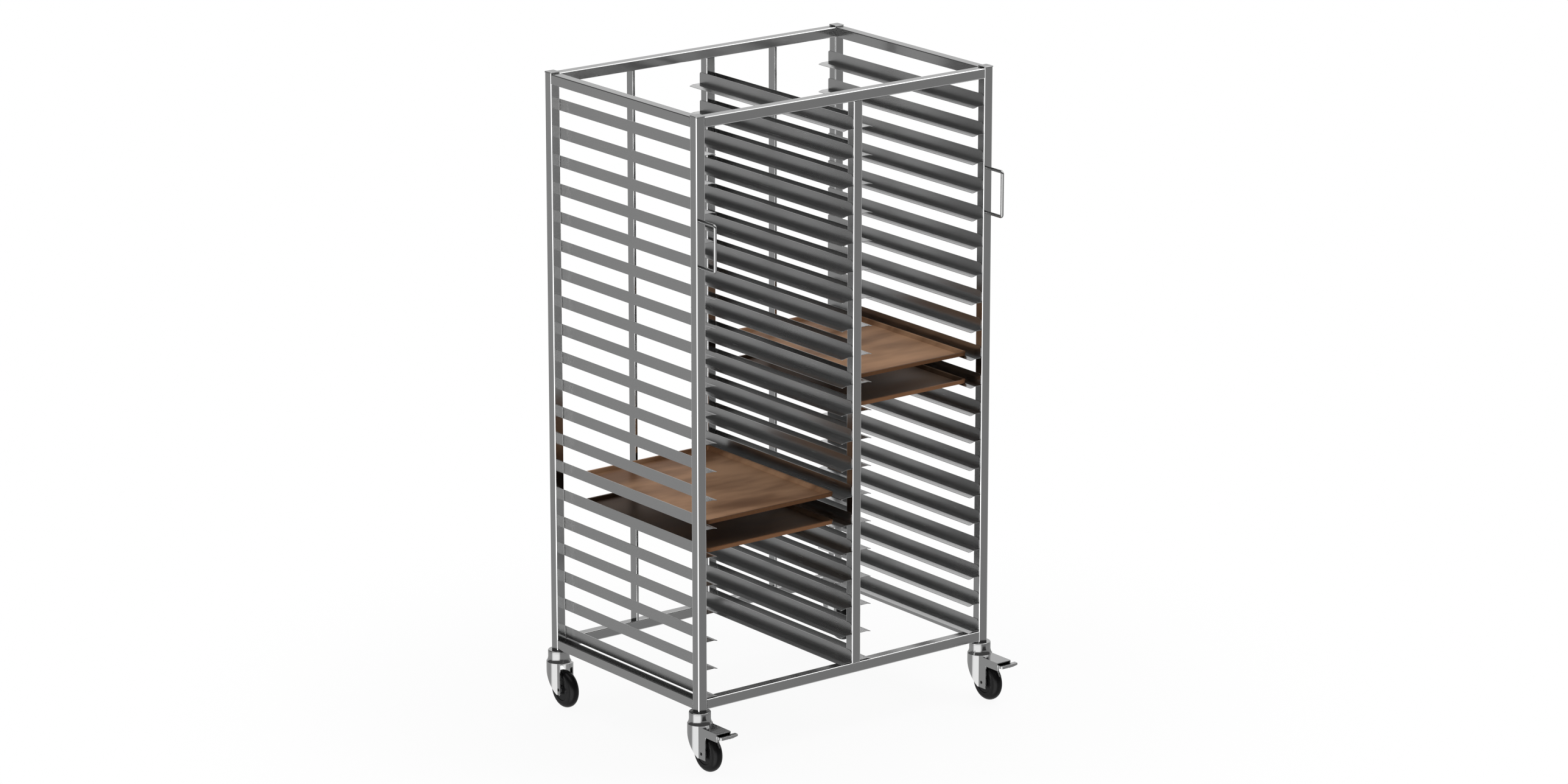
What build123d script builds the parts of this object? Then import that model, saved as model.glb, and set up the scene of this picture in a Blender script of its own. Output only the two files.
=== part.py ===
"""Double tray trolley: a welded square-tube frame with two bays of runners for
flat trays, four trays in place, two push handles and four swivel castors.
Millimetres, +Z up, X along the front from left to right, -Y towards the front.
The origin is on the floor at the middle of everything the trolley covers."""
from build123d import *
from math import cos, radians, sin, sqrt
import os

os.makedirs("parts", exist_ok=True)

# Frame tube
tube = 30.0
tube_wall = 1.2
tube_corner = 3.0

# Frame
frame_width = 1049.4
frame_depth = 717.3
left_bay_clear = 518.7
rail_top_low = 203.5
post_tail = 4.5

# Rear stop bars
stop_width = 8.4
stop_wall = 1.2
stop_corner = 1.5

# Post caps
cap_overhang = 1.3
cap_plate = 3.4
cap_neck = 0.8
cap_neck_inset = 0.8
cap_plug = 18.0
cap_corner = 4.0
cap_edge = 1.2

# Runners: an upright web on the posts, a flat shelf and a drooping lip
levels = 20
pitch = 82.58
first_web_top = 75.1
last_web_gap = 3.53
web_height = 33.75
sheet = 1.2
shelf_flat = 25.0
lip_run = 14.0
lip_drop = 3.5
web_front = 5.0
shelf_front = 1.0
runner_rear = 3.0
web_front_round = 7.0
web_rear_round = 5.5
shelf_front_round = 4.0
shelf_rear_round = 4.0

# Trays
tray_depth = 600.0
left_tray_gap = 33.35
right_tray_gap = 20.35
tray_height = 11.0
tray_floor = 1.8
tray_flare = 2.0
tray_rim = 7.0
tray_slope = 9.0
tray_corner = 12.0
tray_front = 42.0
tray_gap = 0.3
left_tray_levels = (13, 14)
right_tray_levels = (9, 10)

# Push handles
rod = 9.5
handle_height = 141.0
handle_reach = 69.2
handle_inset = 11.2
handle_bend = 6.5
handle_low = 1458.0

# Castors: heights above the floor and distances from the swivel axis
wheel_radius = 56.0
wheel_width = 32.0
wheel_round = 15.0
tyre_inner = 38.0
hub_dish = 1.5
hub_rim = 4.0
boss_radius = 11.0
axle_radius = 5.0
axle_play = 0.06
axle_sink = 0.8
socket_radius = 2.6
socket_depth = 3.0
trail_brake = 38.5
trail_plain = 31.0
fork_radius = 36.3
fork_sheet = 3.0
fork_half = 25.0
crown_top = 134.0
leg_bottom = 39.8
leg_rear = 24.6
leg_front_brake = 57.8
leg_front_plain = 37.8
housing_front = 110.8
housing_bottom = 110.2
head_top = 163.3
head_radius = 31.4
head_foot = 35.4
head_straight = 147.4
head_wall = 3.0
groove = 0.3
race_radius = 31.4
race_round = 2.8
stem_radius = 7.0
stem_play = 0.06
rivet_radius = 11.0
rivet_height = 4.0
plug_height = 45.0
plug_play = 0.2

# Brake pedals
pivot_radius = 2.5
pivot_play = 0.06
pivot_back = 82.0
pivot_drop = 12.0
barrel_wall = 2.2
pedal_sheet = 2.4
pedal_gap = 1.0
foot_front = 127.0
foot_depth = 14.0
foot_height = 8.5
foot_tip = 5.0
foot_wall = 2.0
foot_left_round = 7.0
foot_right_round = 4.0
foot_edge = 1.5
foot_right = 40.0
shoe_gap = 5.4
shoe_half = 3.0
shoe_low = 26.0
shoe_high = 50.0

# Sizes that follow from the ones above
rail_rise = first_web_top + web_height + (levels - 1) * pitch + last_web_gap
rail_top_high = rail_top_low + rail_rise
post_bottom = rail_top_low - tube - post_tail
race_height = post_bottom - head_top - groove
shelf_reach = shelf_flat + lip_run
right_bay_clear = frame_width - 3 * tube - left_bay_clear
runner_zero = rail_top_high - first_web_top - web_height
left_tray_width = left_bay_clear - 2 * left_tray_gap
right_tray_width = right_bay_clear - 2 * right_tray_gap
leg_gap = fork_half - fork_sheet
foot_left = leg_gap - pedal_gap
pivot_height = crown_top - pivot_drop
castor_inset = tube / 2
overlap_left = max(fork_radius, foot_left) - castor_inset
overlap_right = max(fork_radius, foot_right) - castor_inset
overlap_front = max(foot_front - castor_inset, handle_reach + rod / 2)
overlap_rear = max(fork_radius - castor_inset, runner_rear)
x_left = -(frame_width + overlap_right - overlap_left) / 2
x_right = x_left + frame_width
y_front = -(frame_depth + overlap_rear - overlap_front) / 2
y_rear = y_front + frame_depth
x_mid = x_left + tube + left_bay_clear + tube / 2


def square_tube(plane, length, wide=tube, deep=tube, wall=tube_wall, corner=tube_corner):
    """A hollow tube of round-cornered section, from the plane along its normal."""
    with BuildPart() as made:
        with BuildSketch(plane):
            RectangleRounded(wide, deep, corner)
            RectangleRounded(wide - 2 * wall, deep - 2 * wall, corner - wall + 0.2, mode=Mode.SUBTRACT)
        extrude(amount=length)
    return made.part


def keep(part, name):
    """Names a finished piece and writes its file."""
    part.label = name
    export_step(part, "parts/" + name + ".step")


# Corner posts
corners = {
    "front_left": (x_left + tube / 2, y_front + tube / 2),
    "front_right": (x_right - tube / 2, y_front + tube / 2),
    "rear_left": (x_left + tube / 2, y_rear - tube / 2),
    "rear_right": (x_right - tube / 2, y_rear - tube / 2),
}
for corner_name, (cx, cy) in corners.items():
    with BuildPart() as post:
        add(square_tube(Plane((cx, cy, post_bottom)), rail_top_high - post_bottom))
    keep(post.part, "post_" + corner_name)

# Long rails along X and short rails along Y, top and bottom
for height_name, top in (("top", rail_top_high), ("bottom", rail_top_low)):
    for side_name, cy in (("front", y_front + tube / 2), ("rear", y_rear - tube / 2)):
        with BuildPart() as rail:
            start = Plane((x_left + tube, cy, top - tube / 2), x_dir=(0, 1, 0), z_dir=(1, 0, 0))
            add(square_tube(start, frame_width - 2 * tube))
        keep(rail.part, "rail_" + height_name + "_" + side_name)
    for side_name, cx in (("left", x_left + tube / 2), ("right", x_right - tube / 2)):
        with BuildPart() as rail:
            start = Plane((cx, y_front + tube, top - tube / 2), x_dir=(1, 0, 0), z_dir=(0, 1, 0))
            add(square_tube(start, frame_depth - 2 * tube))
        keep(rail.part, "rail_" + height_name + "_" + side_name)

# Middle posts between the long rails
for side_name, cy in (("front", y_front + tube / 2), ("rear", y_rear - tube / 2)):
    with BuildPart() as middle:
        add(square_tube(Plane((x_mid, cy, rail_top_low)), rail_rise - tube))
    keep(middle.part, "middle_post_" + side_name)

# Flat stop bars at the rear, one behind each bay
left_bay_x = x_left + tube + left_bay_clear / 2
right_bay_x = x_right - tube - right_bay_clear / 2
for bay_name, bay_x in (("left", left_bay_x), ("right", right_bay_x)):
    with BuildPart() as stop:
        foot = Plane((bay_x, y_rear - tube / 2, rail_top_low))
        add(square_tube(foot, rail_rise - tube, stop_width, tube, stop_wall, stop_corner))
    keep(stop.part, "rear_stop_" + bay_name)

# Plug caps in the tops of the corner posts
for corner_name, (cx, cy) in corners.items():
    with BuildPart() as cap:
        with BuildSketch(Plane((cx, cy, rail_top_high - cap_plug))):
            inner = tube - 2 * tube_wall
            RectangleRounded(inner - 2 * plug_play, inner - 2 * plug_play, tube_corner - tube_wall)
        extrude(amount=cap_plug)
        with BuildSketch(Plane((cx, cy, rail_top_high))):
            RectangleRounded(tube - 2 * cap_neck_inset, tube - 2 * cap_neck_inset, tube_corner)
        extrude(amount=cap_neck)
        with BuildSketch(Plane((cx, cy, rail_top_high + cap_neck))):
            RectangleRounded(tube + 2 * cap_overhang, tube + 2 * cap_overhang, cap_corner)
        extrude(amount=cap_plate)
        chamfer(cap.faces().sort_by(Axis.Z)[-1].edges(), cap_edge)
    keep(cap.part, "cap_" + corner_name)

# One runner, its web on the plane X = 0 and its shelf towards +X, web bottom at Z = 0
front_y = y_front + shelf_front
rear_y = y_rear + runner_rear
with BuildPart() as runner:
    with BuildSketch(Plane.XZ.offset(-rear_y)):
        with BuildLine():
            Polyline((0, 0), (shelf_flat, 0), (shelf_reach, -lip_drop), (shelf_reach, sheet - lip_drop),
                     (shelf_flat, sheet), (0, sheet), close=True)
        make_face()
    extrude(amount=rear_y - front_y)
    with BuildSketch(Plane.XY.offset(-web_height)):
        with BuildLine():
            Polyline((0, front_y), (shelf_reach - shelf_front_round, front_y))
            RadiusArc((shelf_reach - shelf_front_round, front_y),
                      (shelf_reach, front_y + shelf_front_round), -shelf_front_round)
            Polyline((shelf_reach, front_y + shelf_front_round), (shelf_reach, rear_y - shelf_rear_round))
            RadiusArc((shelf_reach, rear_y - shelf_rear_round),
                      (shelf_reach - shelf_rear_round, rear_y), -shelf_rear_round)
            Polyline((shelf_reach - shelf_rear_round, rear_y), (0, rear_y), (0, front_y))
        make_face()
    extrude(amount=2 * web_height, mode=Mode.INTERSECT)
    with BuildSketch(Plane.YZ):
        web_y = y_front + web_front
        with BuildLine():
            Polyline((web_y, 0), (web_y, web_height - web_front_round))
            RadiusArc((web_y, web_height - web_front_round),
                      (web_y + web_front_round, web_height), web_front_round)
            Polyline((web_y + web_front_round, web_height), (rear_y - web_rear_round, web_height))
            RadiusArc((rear_y - web_rear_round, web_height),
                      (rear_y, web_height - web_rear_round), web_rear_round)
            Polyline((rear_y, web_height - web_rear_round), (rear_y, 0), (web_y, 0))
        make_face()
    extrude(amount=sheet)

level_z = [runner_zero - k * pitch for k in range(levels)]
sides = (
    ("left_bay_left", x_left + tube, 1),
    ("left_bay_right", x_mid - tube / 2, -1),
    ("right_bay_left", x_mid + tube / 2, 1),
    ("right_bay_right", x_right - tube, -1),
)
for side_name, side_x, hand in sides:
    one = runner.part if hand > 0 else mirror(runner.part, Plane.YZ)
    with BuildPart() as ladder:
        with Locations(*[(side_x, 0, z) for z in level_z]):
            add(one)
    keep(ladder.part, "runners_" + side_name)

# Trays: a flat floor, walls that flare a little, a flat rim and a sloped inner side
for bay_name, bay_x, clear, width, tray_levels in (
    ("left", left_bay_x, left_bay_clear, left_tray_width, left_tray_levels),
    ("right", right_bay_x, right_bay_clear, right_tray_width, right_tray_levels),
):
    base_edge = (clear - width) / 2 + tray_flare
    seat_drop = max(0.0, base_edge - shelf_flat) * lip_drop / lip_run
    tray_y = y_front + tray_front + tray_depth / 2
    for order, k in zip(("upper", "lower"), tray_levels):
        base_z = level_z[k] + sheet + tray_gap - seat_drop
        with BuildPart() as tray:
            with BuildSketch(Plane((bay_x, tray_y, base_z))):
                RectangleRounded(width - 2 * tray_flare, tray_depth - 2 * tray_flare, tray_corner - tray_flare)
            with BuildSketch(Plane((bay_x, tray_y, base_z + tray_height))):
                RectangleRounded(width, tray_depth, tray_corner)
            loft()
            low = tray_rim + tray_slope
            with BuildSketch(Plane((bay_x, tray_y, base_z + tray_floor))):
                RectangleRounded(width - 2 * low, tray_depth - 2 * low, tray_corner - tray_rim)
            with BuildSketch(Plane((bay_x, tray_y, base_z + tray_height))):
                RectangleRounded(width - 2 * tray_rim, tray_depth - 2 * tray_rim, tray_corner - tray_rim + 1)
            loft(mode=Mode.SUBTRACT)
        keep(tray.part, "tray_" + bay_name + "_" + order)

# Push handles: a round rod bent twice, standing off the left half of each front post
low_z = handle_low + rod / 2
high_z = handle_low + handle_height - rod / 2
grip_y = y_front - handle_reach
for hand_name, post_x in (("left", x_left), ("right", x_right - tube)):
    grip_x = post_x + handle_inset
    with BuildPart() as handle:
        with BuildLine() as bend:
            FilletPolyline((grip_x, y_front, low_z), (grip_x, grip_y, low_z), (grip_x, grip_y, high_z),
                           (grip_x, y_front, high_z), radius=handle_bend)
        with BuildSketch(Plane(origin=(grip_x, y_front, low_z), z_dir=(0, -1, 0))):
            Circle(rod / 2)
        sweep(path=bend.line)
    keep(handle.part, "handle_" + hand_name)

# Castor stems: a plug in the tube, a round stem and a rivet head under the fork's crown
with BuildPart() as stems:
    for cx, cy in corners.values():
        with BuildSketch(Plane((cx, cy, post_bottom))):
            inner = tube - 2 * tube_wall
            RectangleRounded(inner - 2 * plug_play, inner - 2 * plug_play, tube_corner - tube_wall)
        extrude(amount=plug_height)
        stem_end = crown_top - fork_sheet - groove
        with BuildSketch(Plane((cx, cy, stem_end))):
            Circle(stem_radius)
        extrude(amount=post_bottom - stem_end)
        with BuildSketch(Plane((cx, cy, stem_end - rivet_height))):
            Circle(rivet_radius)
        extrude(amount=rivet_height)
keep(stems.part, "castor_stems")

# Fixed upper races, right under the posts
with BuildPart() as races:
    for cx, cy in corners.values():
        with BuildSketch(Plane((cx, cy, head_top + groove))):
            Circle(race_radius)
            Circle(stem_radius, mode=Mode.SUBTRACT)
        extrude(amount=race_height)
    tops = races.faces().filter_by(Axis.Z).group_by(Axis.Z)[-1]
    fillet(tops.edges().filter_by(lambda e: e.radius > race_radius / 2), race_round)
keep(races.part, "castor_upper_races")

# The four castors
castors = {
    "front_left": ("front_left", True),
    "front_right": ("front_right", True),
    "rear_left": ("rear_left", False),
    "rear_right": ("rear_right", False),
}
shoe_mid = (shoe_low + shoe_high) / 2
hanger_reach = pivot_back + pedal_sheet - trail_brake
shoe_top = wheel_radius + sqrt((wheel_radius + shoe_gap + pedal_sheet / 2) ** 2 - hanger_reach**2)


def sector_point(centre_y, angle):
    """A far point in front of a wheel, at an angle above the level of its axle."""
    reach = 2 * wheel_radius
    return (centre_y - reach * cos(radians(angle)), wheel_radius + reach * sin(radians(angle)))


for castor_name, (corner_name, braked) in castors.items():
    cx, cy = corners[corner_name]
    trail = trail_brake if braked else trail_plain
    leg_front = leg_front_brake if braked else leg_front_plain
    plate_front = housing_front if braked else leg_front
    axle_y = cy - trail
    leg_plane = Plane.XY.offset(leg_bottom)

    # Swivel head: a cup that flares down to the fork's crown
    with BuildPart() as head:
        with BuildSketch(Plane(origin=(cx, cy, 0), x_dir=(1, 0, 0), z_dir=(0, -1, 0))):
            bore = stem_radius + stem_play
            belly = (head_radius + 0.3 * (head_foot - head_radius), head_straight - 0.45 * (head_straight - crown_top))
            with BuildLine():
                Polyline((bore, crown_top), (head_foot, crown_top))
                ThreePointArc((head_foot, crown_top), belly, (head_radius, head_straight))
                Polyline((head_radius, head_straight), (head_radius, head_top), (bore, head_top), (bore, crown_top))
            make_face()
        revolve(axis=Axis((cx, cy, 0), (0, 0, 1)))
        fillet(head.edges().filter_by(GeomType.CIRCLE).sort_by(Axis.Z)[-1:], 0.8)
    keep(head.part, "castor_" + castor_name + "_head")

    # Fork: crown, round back wall and straight cheeks, cut back on a slant
    with BuildPart() as fork:
        with BuildSketch(Plane((cx, cy, leg_bottom))):
            Circle(fork_radius)
            with Locations((0, -plate_front / 2)):
                Rectangle(2 * fork_half, plate_front)
        extrude(amount=crown_top - leg_bottom)
        with BuildSketch(Plane((cx, cy, leg_bottom))):
            Circle(fork_radius - fork_sheet)
            with Locations((0, -plate_front / 2 - fork_sheet)):
                Rectangle(2 * leg_gap, plate_front + 2 * fork_sheet)
        extrude(amount=crown_top - fork_sheet - leg_bottom, mode=Mode.SUBTRACT)
        cheek = [(cy - leg_front, leg_bottom), (cy - leg_rear, leg_bottom),
                 (cy + fork_radius, crown_top - fork_sheet), (cy + fork_radius, crown_top),
                 (cy - plate_front, crown_top)]
        if braked:
            cheek += [(cy - plate_front, housing_bottom), (cy - leg_front, housing_bottom)]
        with BuildSketch(Plane.YZ.offset(cx - fork_radius - 1)):
            with BuildLine():
                Polyline(*cheek, close=True)
            make_face()
        extrude(amount=2 * fork_radius + 2, mode=Mode.INTERSECT)
        with BuildSketch(Plane((cx, cy, crown_top - fork_sheet))):
            Circle(stem_radius + stem_play)
        extrude(amount=fork_sheet, mode=Mode.SUBTRACT)
        with BuildSketch(Plane((cx - fork_half - 1, axle_y, wheel_radius), z_dir=(1, 0, 0))):
            Circle(axle_radius)
        extrude(amount=2 * fork_half + 2, mode=Mode.SUBTRACT)
    keep(fork.part, "castor_" + castor_name + "_fork")

    # Axle, sunk a little in the cheeks, with a driving socket in each end
    with BuildPart() as pins:
        axle_half = fork_half - axle_sink
        with BuildSketch(Plane((cx - axle_half, axle_y, wheel_radius), z_dir=(1, 0, 0))):
            Circle(axle_radius)
        extrude(amount=2 * axle_half)
        for end_x, way in ((cx - axle_half, 1), (cx + axle_half, -1)):
            with BuildSketch(Plane((end_x, axle_y, wheel_radius), z_dir=(way, 0, 0))):
                RegularPolygon(socket_radius, 6)
            extrude(amount=socket_depth, mode=Mode.SUBTRACT)
        if braked:
            with BuildSketch(Plane((cx - leg_gap, cy - pivot_back, pivot_height), z_dir=(1, 0, 0))):
                Circle(pivot_radius)
            extrude(amount=2 * leg_gap)
    keep(pins.part, "castor_" + castor_name + "_pins")

    # Tyre: a band with broad round shoulders
    half = wheel_width / 2
    with BuildPart() as tyre:
        with BuildSketch(Plane(origin=(cx, axle_y, wheel_radius), x_dir=(1, 0, 0), z_dir=(0, -1, 0))):
            with BuildLine():
                Polyline((-half, wheel_radius - wheel_round), (-half, tyre_inner), (half, tyre_inner),
                         (half, wheel_radius - wheel_round))
                RadiusArc((half, wheel_radius - wheel_round), (half - wheel_round, wheel_radius), -wheel_round)
                Line((half - wheel_round, wheel_radius), (wheel_round - half, wheel_radius))
                RadiusArc((wheel_round - half, wheel_radius), (-half, wheel_radius - wheel_round), -wheel_round)
            make_face()
        revolve(axis=Axis((cx, axle_y, wheel_radius), (1, 0, 0)))
    keep(tyre.part, "castor_" + castor_name + "_tyre")

    # Wheel centre: a rim, a dished web and a long boss between the cheeks
    boss_half = leg_gap - groove
    with BuildPart() as hub:
        with BuildSketch(Plane(origin=(cx, axle_y, wheel_radius), x_dir=(1, 0, 0), z_dir=(0, -1, 0))):
            bore = axle_radius + axle_play
            web = half - hub_dish
            with BuildLine():
                Polyline((-boss_half, bore), (boss_half, bore), (boss_half, boss_radius),
                         (web, boss_radius + 2), (web, tyre_inner - hub_rim - 2), (half, tyre_inner - hub_rim),
                         (half, tyre_inner), (-half, tyre_inner), (-half, tyre_inner - hub_rim),
                         (-web, tyre_inner - hub_rim - 2), (-web, boss_radius + 2),
                         (-boss_half, boss_radius), close=True)
            make_face()
        revolve(axis=Axis((cx, axle_y, wheel_radius), (1, 0, 0)))
    keep(hub.part, "castor_" + castor_name + "_hub")

    # Brake pedal: a barrel on the pivot, a lever, a foot cap open below and a curved shoe
    if braked:
        barrel = pivot_radius + pivot_play + barrel_wall
        foot_top = pivot_height + barrel
        foot_rear = foot_front - foot_depth
        with BuildPart() as pedal:
            with BuildSketch(Plane((cx, 0, foot_top - foot_height))):
                with BuildLine():
                    Polyline((-foot_left, cy - foot_rear), (-foot_left, cy - foot_front + foot_left_round))
                    RadiusArc((-foot_left, cy - foot_front + foot_left_round),
                              (foot_left_round - foot_left, cy - foot_front), -foot_left_round)
                    Line((foot_left_round - foot_left, cy - foot_front),
                         (foot_right - foot_right_round, cy - foot_front))
                    RadiusArc((foot_right - foot_right_round, cy - foot_front),
                              (foot_right, cy - foot_front + foot_right_round), -foot_right_round)
                    Polyline((foot_right, cy - foot_front + foot_right_round), (foot_right, cy - foot_rear),
                             (-foot_left, cy - foot_rear))
                make_face()
            extrude(amount=foot_height)
            rim = pedal.faces().sort_by(Axis.Z)[-1].edges()
            fillet(rim.filter_by(lambda e: e.center().Y < cy - foot_rear - 0.1), foot_edge)
            with BuildSketch(Plane((cx, 0, foot_top - foot_height))):
                wide = foot_left + foot_right - 2 * foot_wall
                with Locations(((foot_right - foot_left) / 2, cy - foot_front + foot_wall + foot_depth / 2)):
                    RectangleRounded(wide, foot_depth, foot_right_round - foot_wall)
            extrude(amount=foot_height - pedal_sheet, mode=Mode.SUBTRACT)
            with BuildSketch(Plane((cx - foot_left, cy - pivot_back, pivot_height), z_dir=(1, 0, 0))):
                Circle(barrel)
            extrude(amount=2 * foot_left)
            with BuildSketch(Plane((cx, cy - (pivot_back + foot_rear) / 2, foot_top - pedal_sheet))):
                Rectangle(2 * foot_left, foot_rear - pivot_back)
            extrude(amount=pedal_sheet)
            with BuildSketch(Plane((cx, cy - foot_front, foot_top - foot_height), x_dir=(1, 0, 0), z_dir=(0, -1, 0))):
                with BuildLine():
                    Polyline((foot_left, 0), (foot_right, 0), (foot_right, foot_height - foot_tip), close=True)
                make_face()
            extrude(amount=-foot_depth, mode=Mode.SUBTRACT)
            shoe_inner = wheel_radius + shoe_gap
            with BuildSketch(Plane.YZ.offset(cx - shoe_half)):
                with Locations((axle_y, wheel_radius)):
                    Circle(shoe_inner + pedal_sheet)
                    Circle(shoe_inner, mode=Mode.SUBTRACT)
                with BuildLine():
                    Polyline((axle_y, wheel_radius), sector_point(axle_y, shoe_low), sector_point(axle_y, shoe_mid),
                             sector_point(axle_y, shoe_high), close=True)
                make_face(mode=Mode.INTERSECT)
                hanger = cy - pivot_back - pedal_sheet
                with Locations((hanger, (pivot_height + shoe_top) / 2)):
                    Rectangle(pedal_sheet, pivot_height - shoe_top)
            extrude(amount=2 * shoe_half)
            with BuildSketch(Plane((cx - leg_gap, cy - pivot_back, pivot_height), z_dir=(1, 0, 0))):
                Circle(pivot_radius + pivot_play)
            extrude(amount=2 * leg_gap, mode=Mode.SUBTRACT)
        keep(pedal.part, "castor_" + castor_name + "_brake_pedal")

print("front and rear", y_front, y_rear, "left and right", x_left, x_right)
print("tray seats", [round(z, 2) for z in level_z])
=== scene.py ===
import math

import bpy
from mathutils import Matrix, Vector

# Camera, in the frame of the trolley: metres and degrees, and millimetres for the lens
CAMERA_PLACE = (-9.50315, -12.4132, 5.4376)
CAMERA_YAW = 37.482
CAMERA_PITCH = 16.032
CAMERA_LENS = 130.07
CAMERA_REACH = 200.0
SENSOR_WIDTH = 36.0

# Floor: its size and colour, the distances over which the trolley's shadow fades out,
# and the share of plain white that the camera sees within the nearer one
FLOOR_SIZE = 120.0
FLOOR_COLOUR = 0.9
SHADOW_FADE = (0.7, 1.9)
NEAR_WHITE = 0.93

# Lamps: name, place, target, width, height, radiance, and whether metal mirrors the lamp
LAMPS = (
    ("front_box", (-1.75, -2.35, 1.25), (0.0, 0.0, 0.95), 3.4, 2.5, 0.6, False),
    ("top_box", (2.4, -1.7, 3.7), (0.1, -0.1, 1.2), 2.6, 2.6, 1.6, True),
)

# World, as all rays but the camera's see it. A WAY points at the middle of a part of it,
# and the pair after it says where that part starts or ends and where it is full.
# Sky: its level all round, the paler part at the back on the right, and the zenith
SKY = 0.112
SKY_BACK = 0.824
SKY_BACK_WAY = Vector((0.75, 0.6, 0.27)).normalized()
SKY_BACK_EDGE = (0.45, 0.85)
SKY_TOP = 1.36
SKY_TOP_EDGE = (0.72, 0.86)

# Ground that bright metal mirrors: its level on the left, and in front on the right
GROUND_LEFT = 0.56
GROUND_FRONT = 0.44
GROUND_FRONT_WAY = (0.61, -0.79, 0.0)
GROUND_FRONT_EDGE = (-0.2, 0.5)
HORIZON = (-0.01, 0.01)

# White screen on the left, and the heights over which its upper end fades out
SCREEN = 1.88
SCREEN_WAY = Vector((-0.891, -0.36, -0.276)).normalized()
SCREEN_EDGE = (0.58, 0.90)
SCREEN_TOP = (0.04, 0.14)

# Steel: the scales of its grain along X, Y and Z for each way of grinding, the tints of
# its cloudy patches, the grain's share in its gloss, and how far the gloss varies
GRAINS = {"x": (6, 420, 420), "y": (420, 6, 420), "z": (420, 420, 6), "all": (160, 160, 160)}
GRAIN_DETAIL = 4.0
STEEL_COOL = (0.955, 0.965, 0.97)
STEEL_WARM = (1.05, 1.045, 1.035)
GRAIN_SHARE = 0.7
STEEL_GLOSS = 0.04
# How much glossier the steel is under the painted highlight on its rounded edges
EDGE_HIGHLIGHT_GLOSS = 0.03
STEEL_BUMP = 0.000012

# Parts of the surface's normal over which the steel turns into its painted light: for the
# highlight on a tube's rounded edge, a face that looks up, and a face that looks to the front
ROUND_EDGE = (0.03, 0.16)
TOP_FACE = (0.8, 0.95)
FRONT_FACE = (-0.99, -0.93)

# Clouds in steel and trays, and the strength of every bump
CLOUD_SCALE = 5.0
CLOUD_DETAIL = 3.0
BUMP_STRENGTH = 0.2

# Trays: the stretch and contrast of their clouds, their specks, the front rim, whose tone is
# painted light and shade, as a share of their depth, their roughness, and the dull brown sheen of the
# coating
TRAY_STRETCH = (0.6, 1.7, 1.0)
TRAY_CLOUDS = (0.3, 0.68)
SPECK_SCALE = 300.0
SPECK_DETAIL = 2.0
SPECK_SHARE = 0.15
SPECK_PALER = 1.15
TRAY_RIM = (0.008, 0.03)
TRAY_ROUGH = (0.30, 0.42)
TRAY_METALLIC = 0.2
TRAY_SPECULAR = 0.06
TRAY_SHEEN = (0.7, 0.47, 0.32)
TRAY_BUMP = 0.00001

# Wheels: their scuffs, with how much paler and rougher they are, and the fine skin
SCUFF_SCALE = 34.0
SCUFF_DETAIL = 6.0
SCUFF_ROUGH = 0.7
SCUFF_PALER = 1.7
SCUFF_LIFT = 0.002
RUBBER_SMOOTHER = 0.06
RUBBER_ROUGHER = 0.1
RUBBER_SPECULAR = 0.2
SKIN_SCALE = 900.0
SKIN_DETAIL = 2.0
SKIN_BUMP = 0.00002


def grey(tone):
    """A colour of one tone."""
    return (tone, tone, tone)


def new_tree(holder):
    """An empty node tree on a material or world."""
    holder.use_nodes = True
    holder.node_tree.nodes.clear()
    return holder.node_tree


def node(tree, kind, **properties):
    """Adds a shader node with these properties."""
    made = tree.nodes.new(kind)
    for key, value in properties.items():
        setattr(made, key, value)
    return made


def feed(tree, source, socket):
    """Gives an input a number, a colour or another node's output."""
    if isinstance(source, (int, float)):
        socket.default_value = source
    elif isinstance(source, tuple):
        socket.default_value = (*source, 1)
    else:
        tree.links.new(source, socket)


def show(tree, kind, shader):
    """Ends a tree with the output node of a material or world."""
    feed(tree, shader, node(tree, kind).inputs["Surface"])


def coordinates(tree, kind):
    return node(tree, "ShaderNodeTexCoord").outputs[kind]


def parts(tree, vector):
    """The X, Y and Z parts of a vector."""
    split = node(tree, "ShaderNodeSeparateXYZ")
    feed(tree, vector, split.inputs[0])
    return tuple(split.outputs)


def spread(tree, value, low, high):
    """Maps a value from 0..1 to low..high."""
    ranged = node(tree, "ShaderNodeMapRange")
    for name, source in (("To Min", low), ("To Max", high), ("Value", value)):
        feed(tree, source, ranged.inputs[name])
    return ranged.outputs["Result"]


def smooth(tree, value, edge, low, high):
    """Goes smoothly from low to high as the value goes over the two ends of edge."""
    ranged = node(tree, "ShaderNodeMapRange", interpolation_type="SMOOTHSTEP")
    names = ("From Min", "From Max", "To Min", "To Max", "Value")
    for name, source in zip(names, (*edge, low, high, value)):
        feed(tree, source, ranged.inputs[name])
    return ranged.outputs["Result"]


def noise(tree, scale, detail, stretch=(1, 1, 1), rough=0.5):
    """Noise over the object's own coordinates, from 0 to 1."""
    turn = node(tree, "ShaderNodeMapping")
    turn.inputs["Scale"].default_value = stretch
    feed(tree, coordinates(tree, "Object"), turn.inputs["Vector"])
    made = node(tree, "ShaderNodeTexNoise")
    feed(tree, turn.outputs["Vector"], made.inputs["Vector"])
    for name, number in (("Scale", scale), ("Detail", detail), ("Roughness", rough)):
        feed(tree, number, made.inputs[name])
    return made.outputs["Fac"]


def maths(tree, operation, first, second=0.0):
    """One sum on two values, each an output or a number."""
    made = node(tree, "ShaderNodeMath", operation=operation)
    for place, source in enumerate((first, second)):
        feed(tree, source, made.inputs[place])
    return made.outputs[0]


def facing(tree, way, direction):
    """How far a direction of view agrees with a fixed one, from -1 to 1."""
    made = node(tree, "ShaderNodeVectorMath", operation="DOT_PRODUCT")
    feed(tree, way, made.inputs[0])
    made.inputs[1].default_value = direction
    return made.outputs["Value"]


def mix_values(tree, fac, first, second):
    mixed = node(tree, "ShaderNodeMix")
    for place, source in ((0, fac), (2, first), (3, second)):
        feed(tree, source, mixed.inputs[place])
    return mixed.outputs[0]


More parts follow.
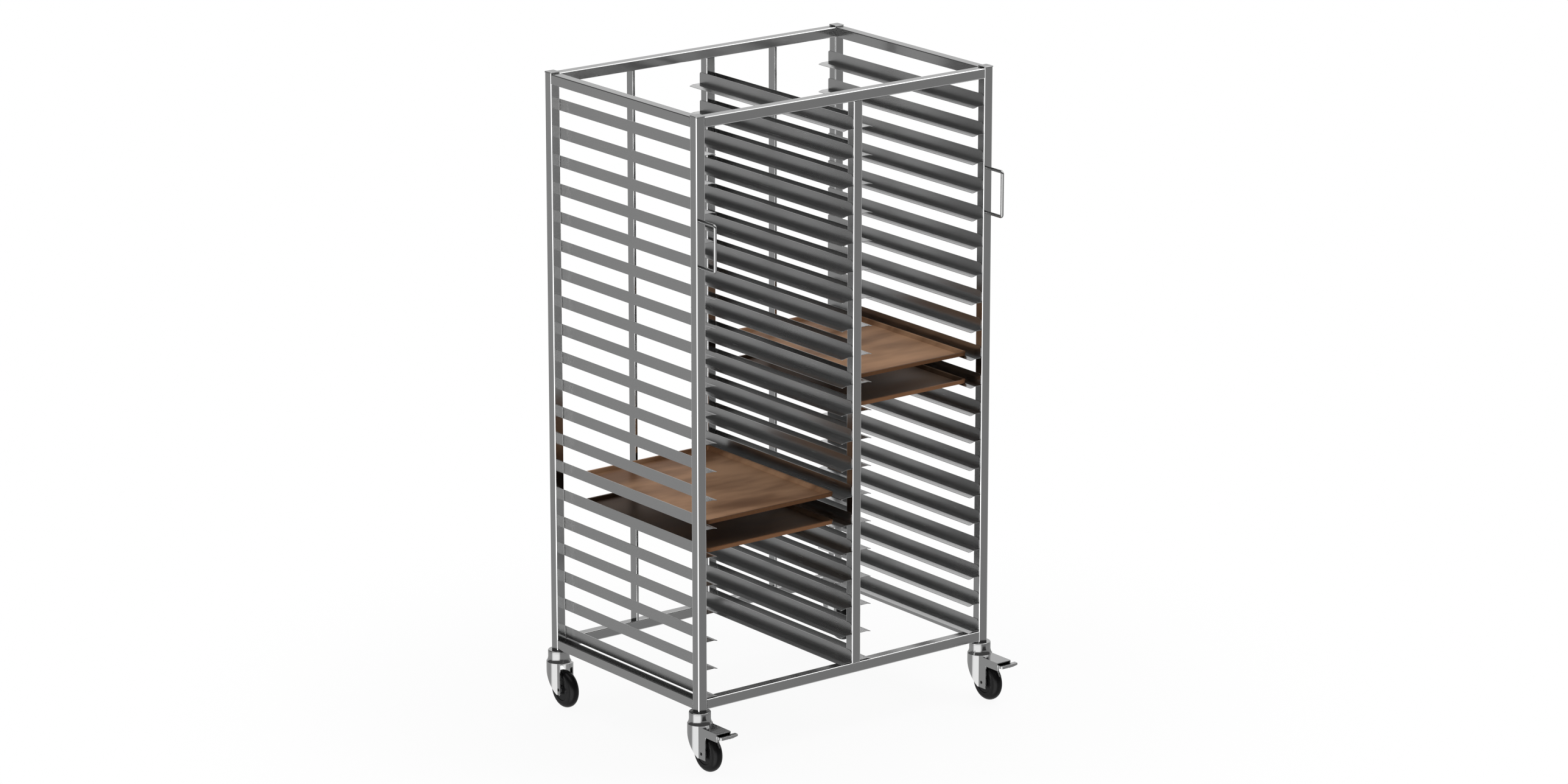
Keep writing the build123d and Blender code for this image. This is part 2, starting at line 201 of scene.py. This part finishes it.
def mix_colours(tree, fac, first, second):
    mixed = node(tree, "ShaderNodeMix", data_type="RGBA")
    for place, source in ((0, fac), (6, first), (7, second)):
        feed(tree, source, mixed.inputs[place])
    return mixed.outputs[2]


def mix_shaders(tree, fac, first, second):
    mixed = node(tree, "ShaderNodeMixShader")
    for place, source in enumerate((fac, first, second)):
        feed(tree, source, mixed.inputs[place])
    return mixed.outputs[0]


def new_surface(name):
    """A material, its tree and its Principled shader."""
    material = bpy.data.materials.new(name)
    tree = new_tree(material)
    surface = node(tree, "ShaderNodeBsdfPrincipled")
    show(tree, "ShaderNodeOutputMaterial", surface.outputs["BSDF"])
    return material, tree, surface


def finish_surface(tree, surface, colour, rough, height, distance):
    """Gives a surface its colour and roughness, and a bump of this height in metres."""
    raised = node(tree, "ShaderNodeBump")
    raised.inputs["Distance"].default_value = distance
    raised.inputs["Strength"].default_value = BUMP_STRENGTH
    feed(tree, height, raised.inputs["Height"])
    feed(tree, colour, surface.inputs["Base Color"])
    feed(tree, rough, surface.inputs["Roughness"])
    feed(tree, raised.outputs["Normal"], surface.inputs["Normal"])


def round_edges(tree):
    """1 on a tube's rounded edges that run along Z or X, 0 on its faces: where the steel gets its painted
    highlight.
    """
    x, y, z = parts(tree, coordinates(tree, "Normal"))
    upright = maths(tree, "ABSOLUTE", maths(tree, "MULTIPLY", x, y))
    level = maths(tree, "ABSOLUTE", maths(tree, "MULTIPLY", y, z))
    return smooth(tree, maths(tree, "MAXIMUM", upright, level), ROUND_EDGE, 0.0, 1.0)


def brushed(name, grain, tone, rough, edge_highlight=None, top_light=None, front_highlight=None):
    """Satin stainless steel, ground along one axis or all.

    Where given, the last three are tones of painted light: a highlight on a tube's rounded
    edges, a paler tone on the faces that look up, and a highlight on the faces that look to the front.
    """
    material, tree, surface = new_surface(name)
    surface.inputs["Metallic"].default_value = 1.0
    lines = noise(tree, 1.0, GRAIN_DETAIL, GRAINS[grain])
    clouds = noise(tree, CLOUD_SCALE, CLOUD_DETAIL)
    cool, warm = (tuple(tone * part for part in tint) for tint in (STEEL_COOL, STEEL_WARM))
    colour = mix_colours(tree, clouds, cool, warm)
    fine = maths(tree, "MULTIPLY", lines, GRAIN_SHARE)
    coarse = maths(tree, "MULTIPLY", clouds, 1 - GRAIN_SHARE)
    gloss = spread(tree, maths(tree, "ADD", fine, coarse), rough - STEEL_GLOSS, rough + STEEL_GLOSS)
    # Painted highlight: a paler, glossier tone on a tube's rounded edges.
    if edge_highlight:
        edge = round_edges(tree)
        colour = mix_colours(tree, edge, colour, grey(edge_highlight))
        gloss = maths(tree, "SUBTRACT", gloss, maths(tree, "MULTIPLY", edge, EDGE_HIGHLIGHT_GLOSS))
    # Painted light: a paler tone on the faces that look up.
    if top_light:
        up = parts(tree, coordinates(tree, "Normal"))[2]
        colour = mix_colours(tree, smooth(tree, up, TOP_FACE, 0.0, 1.0), colour, grey(top_light))
    # Painted highlight: a near-white tone on the faces that look to the front.
    if front_highlight:
        ahead = parts(tree, coordinates(tree, "Normal"))[1]
        colour = mix_colours(tree, smooth(tree, ahead, FRONT_FACE, 1.0, 0.0), colour, grey(front_highlight))
    finish_surface(tree, surface, colour, gloss, lines, STEEL_BUMP)
    return material


def baked_tray(name, dark, pale, rim_light_and_shade):
    """Brown coated sheet metal: cloudy colour and gloss, with fine specks, and a front rim in a tone of
    painted light and shade.
    """
    material, tree, surface = new_surface(name)
    surface.inputs["Metallic"].default_value = TRAY_METALLIC
    surface.inputs["Specular IOR Level"].default_value = TRAY_SPECULAR
    surface.inputs["Specular Tint"].default_value = (*TRAY_SHEEN, 1)
    clouds = smooth(tree, noise(tree, CLOUD_SCALE, CLOUD_DETAIL, TRAY_STRETCH), TRAY_CLOUDS, 0.0, 1.0)
    specks = noise(tree, SPECK_SCALE, SPECK_DETAIL)
    speck_tone = tuple(part * SPECK_PALER for part in pale)
    colour = mix_colours(tree, clouds, dark, pale)
    colour = mix_colours(tree, maths(tree, "MULTIPLY", specks, SPECK_SHARE), colour, speck_tone)
    # Painted light and shade: the front rim gets its own tone, darker than the tray on the upper trays and
    # paler on the lower ones.
    depth = parts(tree, coordinates(tree, "Generated"))[1]
    colour = mix_colours(tree, smooth(tree, depth, TRAY_RIM, 1.0, 0.0), colour, rim_light_and_shade)
    finish_surface(tree, surface, colour, spread(tree, clouds, *TRAY_ROUGH), specks, TRAY_BUMP)
    return material


def rubber(name, colour, rough):
    """Smooth dark moulded plastic, faintly scuffed."""
    material, tree, surface = new_surface(name)
    surface.inputs["Specular IOR Level"].default_value = RUBBER_SPECULAR
    scuffs = noise(tree, SCUFF_SCALE, SCUFF_DETAIL, rough=SCUFF_ROUGH)
    skin = noise(tree, SKIN_SCALE, SKIN_DETAIL)
    scuffed = tuple(part * SCUFF_PALER + SCUFF_LIFT for part in colour)
    tone = mix_colours(tree, scuffs, colour, scuffed)
    gloss = spread(tree, scuffs, rough - RUBBER_SMOOTHER, rough + RUBBER_ROUGHER)
    finish_surface(tree, surface, tone, gloss, skin, SKIN_BUMP)
    return material


def pale_floor():
    """White to the camera but for the trolley's shadow, and clear to the rays that mirror."""
    material = bpy.data.materials.new("pale_floor")
    tree = new_tree(material)
    plain = node(tree, "ShaderNodeBsdfDiffuse")
    feed(tree, grey(FLOOR_COLOUR), plain.inputs["Color"])
    white = node(tree, "ShaderNodeEmission").outputs[0]
    clear = node(tree, "ShaderNodeBsdfTransparent").outputs[0]
    reach = node(tree, "ShaderNodeVectorMath", operation="LENGTH")
    feed(tree, node(tree, "ShaderNodeNewGeometry").outputs["Position"], reach.inputs[0])
    share = smooth(tree, reach.outputs["Value"], SHADOW_FADE, NEAR_WHITE, 1.0)
    rays = node(tree, "ShaderNodeLightPath").outputs
    seen = mix_shaders(tree, maths(tree, "MULTIPLY", rays["Is Camera Ray"], share), plain.outputs[0], white)
    mirrored = maths(tree, "ADD", rays["Is Glossy Ray"], rays["Is Transmission Ray"])
    show(tree, "ShaderNodeOutputMaterial", mix_shaders(tree, mirrored, seen, clear))
    return material


def floor_piece():
    """The floor takes the trolley's shadow; metal mirrors the world's ground instead of it."""
    half = FLOOR_SIZE / 2
    corners = [(-half, -half, 0), (half, -half, 0), (half, half, 0), (-half, half, 0)]
    mesh = bpy.data.meshes.new("studio_floor")
    mesh.from_pydata(corners, [], [(0, 1, 2, 3)])
    mesh.materials.append(pale_floor())
    floor = bpy.data.objects.new("studio_floor", mesh)
    bpy.context.scene.collection.objects.link(floor)


def studio_world():
    """White to the camera. Other rays see a soft sky over pale ground, and a white screen."""
    world = bpy.data.worlds.new("studio")
    bpy.context.scene.world = world
    world.cycles.sampling_method = "NONE"
    tree = new_tree(world)
    way = coordinates(tree, "Generated")
    height = parts(tree, way)[2]
    back = smooth(tree, facing(tree, way, SKY_BACK_WAY), SKY_BACK_EDGE, SKY, SKY_BACK)
    sky = maths(tree, "MAXIMUM", back, smooth(tree, height, SKY_TOP_EDGE, 0.0, SKY_TOP))
    front = facing(tree, way, GROUND_FRONT_WAY)
    ground = smooth(tree, front, GROUND_FRONT_EDGE, GROUND_LEFT, GROUND_FRONT)
    level = mix_values(tree, smooth(tree, height, HORIZON, 1.0, 0.0), sky, ground)
    screen = maths(tree, "MULTIPLY",
                   smooth(tree, facing(tree, way, SCREEN_WAY), SCREEN_EDGE, 0.0, SCREEN),
                   smooth(tree, height, SCREEN_TOP, 1.0, 0.0))
    camera_ray = node(tree, "ShaderNodeLightPath").outputs["Is Camera Ray"]
    light = node(tree, "ShaderNodeBackground")
    feed(tree, grey(1.0), light.inputs["Color"])
    strength = mix_values(tree, camera_ray, maths(tree, "MAXIMUM", level, screen), 1.0)
    feed(tree, strength, light.inputs["Strength"])
    show(tree, "ShaderNodeOutputWorld", light.outputs[0])


def lamps():
    for name, place, target, width, height, radiance, mirrored in LAMPS:
        data = bpy.data.lights.new(name, "AREA")
        data.shape = "RECTANGLE"
        data.size = width
        data.size_y = height
        data.energy = radiance * math.pi * width * height
        lamp = bpy.data.objects.new(name, data)
        lamp.location = place
        lamp.rotation_euler = (Vector(target) - Vector(place)).to_track_quat("-Z", "Y").to_euler()
        lamp.visible_camera = False
        lamp.visible_glossy = mirrored
        bpy.context.scene.collection.objects.link(lamp)


def camera():
    data = bpy.data.cameras.new("camera")
    data.sensor_width = SENSOR_WIDTH
    data.lens = CAMERA_LENS
    data.clip_end = CAMERA_REACH
    holder = bpy.data.objects.new("camera", data)
    holder.location = CAMERA_PLACE
    holder.rotation_euler = (math.radians(90 - CAMERA_PITCH), 0, math.radians(-CAMERA_YAW))
    bpy.context.scene.collection.objects.link(holder)
    bpy.context.scene.camera = holder


def dress(nodes):
    """Gives every node its material."""
    # The frame's steel gets a painted highlight on its tubes' rounded edges.
    steel = {axis: brushed("satin_steel_" + axis, axis, tone=0.36, rough=0.15, edge_highlight=0.85) for axis in "xyz"}
    # The runners get painted light on the faces that look up.
    sheet = brushed("runner_steel", "y", tone=0.36, rough=0.26, top_light=0.62)
    plate = brushed("cap_steel", "all", tone=0.35, rough=0.22)
    handle = brushed("handle_steel", "z", tone=0.42, rough=0.14)
    castor = brushed("castor_steel", "all", tone=0.4, rough=0.13)
    # The forks get a painted highlight on the faces that look to the front.
    fork = brushed("fork_steel", "all", tone=0.4, rough=0.13, front_highlight=0.95)
    pin = brushed("pin_steel", "all", tone=0.06, rough=0.3)
    # Painted shade: the upper trays' front rims are darker; the lower trays are a darker copy of the tray,
    # shaded by the trays above them, with paler front rims as painted light.
    upper_tray = baked_tray("baked_tray", dark=(0.17, 0.078, 0.035), pale=(0.58, 0.34, 0.20),
                            rim_light_and_shade=(0.13, 0.062, 0.03))
    shaded_lower_tray = baked_tray("shaded_tray", dark=(0.045, 0.028, 0.018), pale=(0.14, 0.092, 0.06),
                            rim_light_and_shade=(0.24, 0.118, 0.06))
    tyre = rubber("tyre_black", colour=(0.004, 0.004, 0.0043), rough=0.28)
    centre = rubber("wheel_centre_black", colour=(0.007, 0.007, 0.0075), rough=0.3)

    def choose(name):
        if name.startswith(("post_", "middle_post", "rear_stop")):
            return steel["z"]
        if name.startswith("rail_"):
            return steel["x"] if name.endswith(("_front", "_rear")) else steel["y"]
        if name.startswith("runners_"):
            return sheet
        if name.startswith("cap_"):
            return plate
        if name.startswith("tray_"):
            return upper_tray if name.endswith("_upper") else shaded_lower_tray
        if name.startswith("handle_"):
            return handle
        if name.endswith("_fork"):
            return fork
        if name.endswith("_pins"):
            return pin
        if name.endswith("_tyre"):
            return tyre
        if name.endswith("_hub"):
            return centre
        return castor

    for name, piece in nodes.items():
        piece.data.materials.clear()
        piece.data.materials.append(choose(name))


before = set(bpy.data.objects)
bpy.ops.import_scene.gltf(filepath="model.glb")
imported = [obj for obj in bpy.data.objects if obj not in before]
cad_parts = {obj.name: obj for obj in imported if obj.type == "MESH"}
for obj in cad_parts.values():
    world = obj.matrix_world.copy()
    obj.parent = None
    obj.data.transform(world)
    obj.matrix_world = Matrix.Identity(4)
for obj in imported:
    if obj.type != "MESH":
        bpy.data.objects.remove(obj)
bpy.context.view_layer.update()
camera()
dress(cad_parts)
floor_piece()
studio_world()
lamps()
bpy.context.scene.view_settings.view_transform = "Standard"
